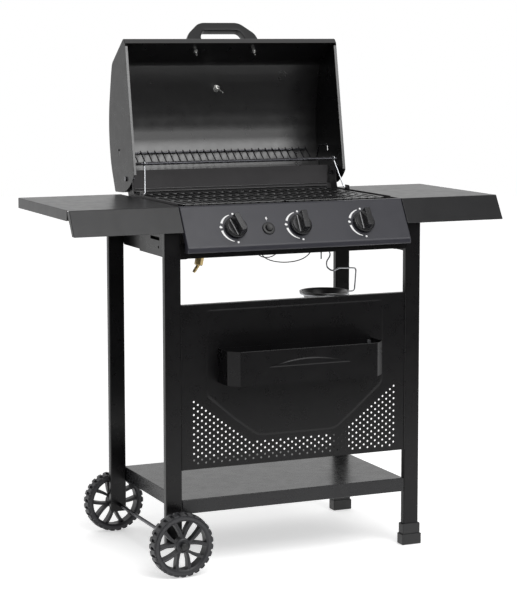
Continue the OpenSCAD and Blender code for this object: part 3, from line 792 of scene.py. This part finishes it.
def panel_marks():
    """Thin raised print: two arcs, two dots and a flame at each knob, and a spark mark."""
    flame = [(-39.6, 3.8), (-36.2, 7.8), (-34.4, 5.6), (-32.4, 4.6), (-31.8, 2.4), (-34.0, 0.8),
             (-37.4, 0.8)]
    bolt = [(-1.6, 5.0), (1.8, 5.0), (0.6, 1.2), (2.8, 1.2), (-1.4, -5.0), (-0.3, -0.6),
            (-2.6, -0.6)]
    prints = []
    for x in CONTROLS:
        at = on_slope(x, CONTROL_DROP)
        prints += [(arc_band(35.0, *angles, 1.6, 5.6), at) for angles in ((105, 158), (255, 189))]
        for a in (math.pi / 2, 3 * math.pi / 2):
            prints.append((ring(36.5 * math.cos(a), 36.5 * math.sin(a), 2.6, 20), at))
        prints.append((rounded(flame, 0.9, 3, closed=True), at))
    prints.append((bolt, on_slope(IGNITER_X, CONTROL_DROP - 20)))
    shape = Shape()
    for outline, at in prints:
        shape.prism(outline, "z", -0.02, 0.12, at)
    piece("panel_marks", shape.mesh("panel_marks"), "mark", FRAME, weighted=False)


panel_marks()


def knob(name, x, turn):
    """A skirt with a square grip bar across it and, beside the bar, a light line: part print, part
    painted highlight.
    """
    at = on_slope(x, CONTROL_DROP, 5.0) @ Matrix.Rotation(math.radians(turn), 4, "Z")
    shape = Shape()
    shape.lathe(
        [(4.1, 0.4), (25.4, 0.2), (26.6, 0.6), (27, 1.4), (26.8, 3.4), (26.0, 4.6), (24.6, 5.3),
         (23.4, 5.7), (22.8, 6.4), (22.3, 7.2), (21.4, 7.5), (9, 7.5), (0, 7.5)], 72, at,
    )
    # (height, half width, half length) of the bar
    levels = ((3.0, 7.5, 22.6), (9.0, 7.5, 22.6), (31.0, 7.4, 22.4), (33.2, 7.2, 22.1),
              (33.8, 6.8, 21.7), (34.0, 6.2, 21.1))
    rings = []
    for h, w, d in levels:
        line = rounded([(-w, -d), (w, -d), (w, d), (-w, d)], 1.8, 5, closed=True)
        rings.append([(*p, h) for p in line])
    shape.loft(rings, at)
    piece(name + "_grip", shape.mesh(name), "knob", name, [name], 40.0)
    # painted highlight: this light grey strip at the foot of the bar's left side stands partly for
    # light on that edge, partly for a printed indicator line
    line = Shape().box((-9.4, -20.6, 7.2), (-7.5, 20.6, 8.1), 0.25, at)
    piece(name + "_pointer", line.mesh(name + "_pointer"), "pointer_and_highlight", name,
          weighted=False)


# the first knob is turned a little from the other two
for name, x, turn in zip(("knob_1", "knob_2", "knob_3"), CONTROLS, (17, 0, 0)):
    knob(name, x, turn)


def igniter():
    """A body with a round collar and a lug for its lead, and a dished button in it."""
    at = on_slope(IGNITER_X, CONTROL_DROP + 5)
    shape = Shape().lathe(
        [(8.7, 3.6), (9.2, 4.1), (13.6, 4.1), (14.9, 3.2), (15.5, 1.9), (15.5, 0.1), (11, 0.1),
         (10.8, -1.6), (10.8, -28), (9.6, -30), (0, -30)], 56, at,
    )
    shape.box((-78.2, -194.8, 781.02), (-75.8, -193.2, 786), 0.3)
    shape.lathe([(8.7, 4.0), (8.7, -14), (0, -14)], 56, at)
    piece("igniter_ring", shape.mesh("igniter_body"), "foot", FRAME,
          ["igniter_body"])
    button = Shape().lathe(
        [(0, -7), (8.2, -7), (8.3, 7.6), (7.9, 8.8), (7.0, 9.4), (5.0, 9.0), (0, 8.5)], 56, at
    )
    piece("igniter_cap", button.mesh("igniter_button"), "foot", "igniter_button",
          ["igniter_button"])


igniter()


def between(a, b):
    """A place at a with its Z towards b, and the distance."""
    a, b = Vector(a), Vector(b)
    way = b - a
    turn = way.normalized().to_track_quat("Z", "Y").to_matrix().to_4x4()
    return Matrix.Translation(a) @ turn, way.length


def gas_inlet():
    """The elbow below the panel: a pipe, a hexagon nut and a ribbed hose tail."""
    y = -178.5
    shape = Shape()
    shape.tube([(-226, y, 785), (-243, y, 785)], 9.5, 24)
    shape.tube(rounded([(-236, y, 785), (-235, y, 770), (-234.6, y, 742)], 6, 5), 7.0, 20)
    place, length = between((-234.5, y, 744), (-239.5, y, 719))
    nut = [(0, 0), (8.6, 0), (10, 1.6), (10, length - 1.8), (8.4, length), (0, length)]
    shape.lathe(nut, 6, place)
    place, length = between((-239.3, y, 720), (-251.5, y, 703))
    tail = [(0, 0), (4.2, 0)]
    for k in range(3):
        z = 3.0 + k * 5.2
        tail += [(3.6, z), (4.5, z + 1.2), (3.7, z + 4.8)]
    tail += [(3.5, length), (2.4, length), (2.4, length - 6), (0, length - 6)]
    shape.lathe(tail, 28, place)
    piece("gas_inlet_fitting", shape.mesh("gas_inlet"), "brass", FRAME, ["gas_inlet"],
          32.0)


gas_inlet()

# --------------------------------------------------------------------- lid

HINGE = (178, 898)  # (y, z) of the hinge line
LEAN = math.radians(79.6)  # angle of the open lid's s axis above level


def lid_at(s, t):
    """(y, z) of a point of the open lid, s up along it and t towards the back."""
    return (
        HINGE[0] + s * math.cos(LEAN) + t * math.sin(LEAN),
        HINGE[1] + s * math.sin(LEAN) - t * math.cos(LEAN),
    )


# the shell's outer line, from its free edge over the crown to the hinge side, in (s, t),
# and the radius of each corner
LID_LINE = [
    (329, -58), (342, -50), (296, 45), (269, 58), (234.5, 72), (200.5, 85.5), (170, 94.5),
    (137, 101), (100, 104.5), (60, 104), (36, 100.5), (-22, 86), (-30.5, 28), (-19, 26),
]
LID_ROUND = [0, 3, 24, 200, 200, 200, 200, 200, 200, 120, 8, 6, 4, 0]


def lid_shell():
    path = [lid_at(*p) for p in rounded(LID_LINE, LID_ROUND, 6)]
    shape = Shape().prism(thick(path, -1.2), "x", -287.2, 287.2)
    piece("lid_shell_sheet", shape.mesh("lid_shell"), "enamel", "lid",
          ["lid_shell"], 30.0)


lid_shell()


def lid_end(name, s):
    """The lid's side plate, with a vent slot and a hole for the hinge bolt. s is -1 or 1."""
    edge = [(-24, -12.8), (-14, -38), (0, -57)] + LID_LINE[:-1]
    radii = [10, 14, 10] + [3, 5] + LID_ROUND[2:-1]
    outer = rounded(edge, radii, 6, closed=True)
    slot = rounded([(61.6, 35.7), (79.6, 35.7), (79.6, 40.9), (61.6, 40.9)], 2.5, 5, closed=True)
    bolt = ring(0, 0, 3.05, 20)
    loops = [[lid_at(*p) for p in loop] for loop in (outer, slot, bolt)]
    turn = Matrix(((0, 0, 1, 0), (1, 0, 0, 0), (0, 1, 0, 0), (0, 0, 0, 1)))
    turn = Matrix.Translation((s * 287.9 * MM, 0, 0)) @ turn
    mesh = plate(name, loops, 1.2, turn)
    piece(name + "_plate", mesh, "lid_side", "lid", [name], 30.0, weighted=False)
    lip = [lid_at(*p) for p in ((3, -57), (322, -58), (322, -56.8), (3, -55.8))]
    x0, x1 = sorted((s * 287.6, s * 281.5))
    shape = Shape().prism(lip, "x", x0, x1)
    piece(name + "_lip", shape.mesh(name + "_lip"), "enamel", "lid")


lid_end("lid_end_left", -1)
lid_end("lid_end_right", 1)


def grip():
    """The moulded handle, a swept oval that is wider at its feet, and its two screws."""
    y, z = lid_at(319, -2.5)
    at = Matrix.Translation((0, y, z)) @ Matrix.Rotation(math.radians(-36.3), 4, "X")
    outer = [(-98, 0.1), (-95.5, 44), (-55, 81.8), (55, 81.8), (95.5, 44), (98, 0.1)]
    inner = [(-60, 0.1), (-58.5, 38), (-50, 57), (50, 57), (58.5, 38), (60, 0.1)]
    outer = rounded(outer, [0, 34, 36, 36, 34, 0], 8)
    inner = rounded(inner, [0, 10, 12, 12, 10, 0], 8)
    sides, half_depth, squareness = 16, 11, 0.34
    rings = []
    for p, q in zip(outer, inner):
        middle = ((p[0] + q[0]) / 2, (p[1] + q[1]) / 2)
        half = math.dist(p, q) / 2
        u = ((p[0] - q[0]) / (2 * half), (p[1] - q[1]) / (2 * half))
        ring_points = []
        for k in range(sides):
            t = 2 * math.pi * k / sides
            c, s = math.cos(t), math.sin(t)
            c = math.copysign(abs(c) ** squareness, c) * half
            s = math.copysign(abs(s) ** squareness, s) * half_depth
            ring_points.append((middle[0] + u[0] * c, s, max(0.1, middle[1] + u[1] * c)))
        rings.append(ring_points)
    shape = Shape().loft(rings, at)
    piece("lid_grip", shape.mesh("lid_handle"), "grip", "lid", ["lid_handle"],
          40.0)
    screws = Shape()
    for x in (-80, 80):
        here = at @ Matrix.Translation((x, 0, -1.2)) @ Matrix.Rotation(math.pi, 4, "X")
        screws.lathe([(6, 0), (6, 1.2), (4.4, 1.3), (4.4, 4.6), (2.5, 4.7), (2.5, 12.2),
                      (1.8, 13), (0, 13)], 28, here)
    piece("lid_grip_screws", screws.mesh("lid_grip_screws"), "nut", "lid")


grip()


def thermometer():
    """A round dial on the lid's outer face, with its nut and probe inside the lid."""
    y, z = lid_at(234.5, 72)
    at = Matrix.Translation((0, y, z)) @ Matrix.Rotation(math.radians(-77), 4, "X")
    shape = Shape()
    shape.lathe([(0, 0.4), (21.6, 0.4), (23, 1.0), (23, 4.6), (22.4, 5.8), (21, 6.2), (20.2, 5.6),
                 (0, 5.5)], 64, at)
    shape.lathe([(0, -1.5), (7.5, -1.5), (7.5, -6.8), (6.6, -7.6), (0, -7.6)], 6, at)
    shape.lathe([(0, -1.3), (9.4, -1.3), (9.4, -2.2), (0, -2.2)], 32, at)
    shape.lathe([(0, -46), (1.8, -45.4), (2.5, -43.6), (2.5, -2), (0, -2)], 24, at)
    piece("thermometer_case", shape.mesh("thermometer"), "nut", "lid",
          ["thermometer"], 32.0)
    face = Shape().lathe([(0, 5.8), (20, 5.8)], 64, at)
    for k in range(13):
        a = math.radians(-120 + 20 * k)
        tick = Matrix.Rotation(a, 4, "Z")
        face.box((-0.5, 15.0, 5.8), (0.5, 18.6, 5.95), 0.0, at @ tick)
    needle = Shape().box((-0.6, -5, 5.96), (0.6, 14, 6.1), 0.0, at @ Matrix.Rotation(2.0, 4, "Z"))
    piece("thermometer_face", face.mesh("thermometer_face"), "mark", "lid",
          weighted=False)
    piece("thermometer_needle", needle.mesh("thermometer_needle"), "knob", "lid",
          weighted=False)


thermometer()

# -------------------------------------------------------- rack and grates


# (y, z) of the rack's front wire, hinge pins, lower rear wire and upper rear wire
RACK_FRONT, RACK_PIN, RACK_REAR, RACK_FENCE = (130, 938), (229.5, 966.8), (248, 927.5), (284, 954)


def rack():
    shape = Shape()
    for half, at in ((266, RACK_FRONT), (264, RACK_REAR), (252, RACK_FENCE)):
        shape.tube([(-half, *at), (half, *at)], 2.0, 12)
    for i in range(-13, 14):
        x = i * 19.2
        cross = [
            (x, RACK_FRONT[0] - 1, RACK_FRONT[1] + 3), (x, RACK_REAR[0] - 1, RACK_REAR[1] + 3),
            (x, RACK_FENCE[0] + 1.4, RACK_FENCE[1] + 4.8),
        ]
        shape.tube(rounded(cross, 5, 4), 1.5, 8)
    for s in (-1, 1):
        side = [(s * 264, *RACK_FRONT), (s * 264, *RACK_REAR), (s * 264, *RACK_PIN)]
        shape.tube(rounded(side, [0, 6, 0], 5), 2.0, 10)
        shape.tube([(s * 262.8, *RACK_PIN), (s * 291.0, *RACK_PIN)], 2.0, 12)
    piece("warming_rack_wires", shape.mesh("warming_rack"), "wire", "warming_rack",
          ["warming_rack"], 50.0)


rack()


def swing_leg(name, s):
    """A bent wire from the firebox's side to an eye around the rack's front wire. s is -1 or 1."""
    pivot, front = (93, 866), RACK_FRONT
    u = Vector((front[0] - pivot[0], front[1] - pivot[1])).normalized()
    end = (s * 258, front[0] - u.x * 5.4, front[1] - u.y * 5.4)
    path = rounded([(s * 280.8, *pivot), (s * 270, *pivot), end], [0, 5, 0], 6)
    shape = Shape().tube(path, 1.7, 12)
    eye = [(s * 258, *p) for p in ring(*front, 4.8, 28)]
    shape.tube(eye, 1.9, 10, closed=True)
    piece(name + "_wire", shape.mesh(name), "chrome", name, [name], 50.0)


swing_leg("swing_leg_left", -1)
swing_leg("swing_leg_right", 1)


def grate(name, x0, x1):
    """A cast grate of thirteen bars on four cross ribs."""
    shape = Shape()
    gaps, bar, low, top = 12, 9, 847.2, 860
    for i in range(gaps + 1):
        x = x0 + i * (x1 - x0 - bar) / gaps
        shape.box((x, -142, low), (x + bar, 177, top), 1.6)
    for y in (-142, -40, 64, 165):
        shape.box((x0, y, low), (x1, y + 12, top - 0.6), 1.4)
    piece(name + "_casting", shape.mesh(name), "grate", name, [name])


grate("grate_left", -265, -2)
grate("grate_right", 2, 265)


def back_beads():
    """Rolled edges along the foot of the firebox's back wall."""
    shape = Shape()
    shape.tube([(-264, 184.4, 871.6), (264, 184.4, 871.6)], 1.3, 12)
    shape.tube([(-262, 179.7, 865.3), (262, 179.7, 865.3)], 1.3, 12)
    piece("firebox_back_beads", shape.mesh("firebox_back_beads"), "enamel", FRAME)


back_beads()

# -------------------------------------------------------------- grease cup


def grease_cup():
    shape = Shape().lathe(
        [(0, -42), (38, -42), (40.5, -41), (42, -38.6), (55.6, -5.4), (57.2, -4.0), (60, -4.6),
         (62.2, -3.9), (63, -2.2), (62.4, -0.6), (60.6, 0), (58.4, -0.4), (56.4, -1.4),
         (54.4, -4.8), (41, -38), (39.6, -40.2), (37.6, -40.8), (0, -40.8)], 72,
        Matrix.Translation((CUP_X, 0, CUP_RIM)),
    )
    piece("grease_cup_pressing", shape.mesh("grease_cup"), "enamel", "grease_cup",
          ["grease_cup"], 40.0)


def cup_holder():
    """One wire: a ring under the cup's rim, then an arm up to its hook."""
    r, z = 60.5, CUP_RIM - 6.9
    turns = [math.radians(5.6 * k) for k in range(-61, 1)]
    loop = [(CUP_X + r * math.cos(a), r * math.sin(a), z) for a in turns]
    arm = rounded(
        [(CUP_X + r, 4, z), (255, 0, z + 1), (259.6, 0, 669), (212, 0, 671.6), (193, 0, 663.4),
         (176.6, 0, 676), (177.6, 0, 690), (188, 0, 704), (183, 0, 718), (183, 0, 740.2),
         (162, 0, 740.2), (162, 0, 696)],
        [0, 7, 7, 16, 16, 14, 14, 12, 14, 4, 4, 0], 6,
    )
    wire = Shape().tube(loop + arm, 2.0, 12)
    piece("cup_holder_wire", wire.mesh("cup_holder"), "zinc", FRAME,
          ["cup_holder"], 50.0)


grease_cup()
cup_holder()

# ---------------------------------------------- materials for the CAD nodes

CAD_FINISHES = {
    "frame": ["side_rail_left", "side_rail_right", "cross_rail_front", "cross_rail_back"],
    "enamel_in": [
        "firebox_front", "firebox_back", "firebox_left", "firebox_right", "firebox_floor",
    ],
    "soot": ["heat_tent_1", "heat_tent_2", "heat_tent_3"],
    "steel": ["burner_1", "burner_2", "burner_3", "manifold"],
    "brass": ["valves"],
    "wire": ["axle", "hinge_bolts"],
    "zinc": ["frame_bolts", "valve_stem_1", "valve_stem_2", "valve_stem_3"],
    "ceramic": ["electrode"],
}


def finish_cad_node(o, material):
    """Gives a CAD node its material and a modifier that rounds its edges by 0.4 mm."""
    if not o.material_slots:
        o.data.materials.append(material)
    for s in o.material_slots:
        s.material = material
    b = o.modifiers.new("edge", "BEVEL")
    b.width = 0.4 * MM
    b.segments = 2
    b.angle_limit = math.radians(35)


for key, nodes in CAD_FINISHES.items():
    for node in nodes:
        finish_cad_node(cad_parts[node], FINISHES[key])

# ------------------------------------------------------- studio and lights


def studio_floor():
    bm = bmesh.new()
    bmesh.ops.create_grid(bm, x_segments=1, y_segments=1, size=6.0)
    mesh = bpy.data.meshes.new("studio_floor")
    bm.to_mesh(mesh)
    bm.free()
    plane = bpy.data.objects.new("studio_floor", mesh)
    plane.location = (0, 4.3, -0.0005)
    scene.collection.objects.link(plane)
    m, _, bsdf, _ = new_material("studio_floor")
    bsdf.inputs["Base Color"].default_value = (0.93, 0.93, 0.93, 1)
    bsdf.inputs["Emission Color"].default_value = (1, 1, 1, 1)
    bsdf.inputs["Emission Strength"].default_value = 0.46
    bsdf.inputs["Roughness"].default_value = 0.7
    mesh.materials.append(m)


def studio_room():
    """A white backdrop, and a room light that is strong behind and above, dim low in front."""
    world = bpy.data.worlds.new("studio")
    world.use_nodes = True
    nt = world.node_tree
    nt.nodes.clear()
    out = nt.nodes.new("ShaderNodeOutputWorld")
    mix = nt.nodes.new("ShaderNodeMixShader")
    path = nt.nodes.new("ShaderNodeLightPath")
    backdrop = nt.nodes.new("ShaderNodeBackground")
    backdrop.inputs[0].default_value = (1, 1, 1, 1)
    light = nt.nodes.new("ShaderNodeBackground")
    light.inputs[0].default_value = (1, 1, 1, 1)
    coord = nt.nodes.new("ShaderNodeTexCoord")
    split = nt.nodes.new("ShaderNodeSeparateXYZ")
    nt.links.new(coord.outputs["Generated"], split.inputs[0])
    rear = map_range(nt, split.outputs["Y"], 0.10, 0.85, -0.35, 0.55)
    high = map_range(nt, split.outputs["Z"], 0.0, 0.75, 0.25, 0.95)
    stronger = nt.nodes.new("ShaderNodeMath")
    stronger.operation = "MAXIMUM"
    nt.links.new(rear, stronger.inputs[0])
    nt.links.new(high, stronger.inputs[1])
    nt.links.new(stronger.outputs[0], light.inputs["Strength"])
    nt.links.new(path.outputs["Is Camera Ray"], mix.inputs[0])
    nt.links.new(light.outputs[0], mix.inputs[1])
    nt.links.new(backdrop.outputs[0], mix.inputs[2])
    nt.links.new(mix.outputs[0], out.inputs[0])
    scene.world = world


def soft_light(name, at, to, size, power):
    light = bpy.data.lights.new(name, "AREA")
    light.shape = "RECTANGLE"
    light.size, light.size_y = size
    light.energy = power
    o = bpy.data.objects.new(name, light)
    o.location = at
    o.rotation_mode = "QUATERNION"
    o.rotation_quaternion = (Vector(to) - Vector(at)).to_track_quat("-Z", "Y")
    scene.collection.objects.link(o)


studio_floor()
studio_room()
scene.view_settings.view_transform = "Standard"
soft_light("key", (-0.10, -2.72, 3.40), (0, -0.2, 0.8), (2.9, 1.9), 78)
soft_light("glow", (1.34, -3.86, 2.50), (0, 0.2, 1.1), (3.0, 1.5), 58)
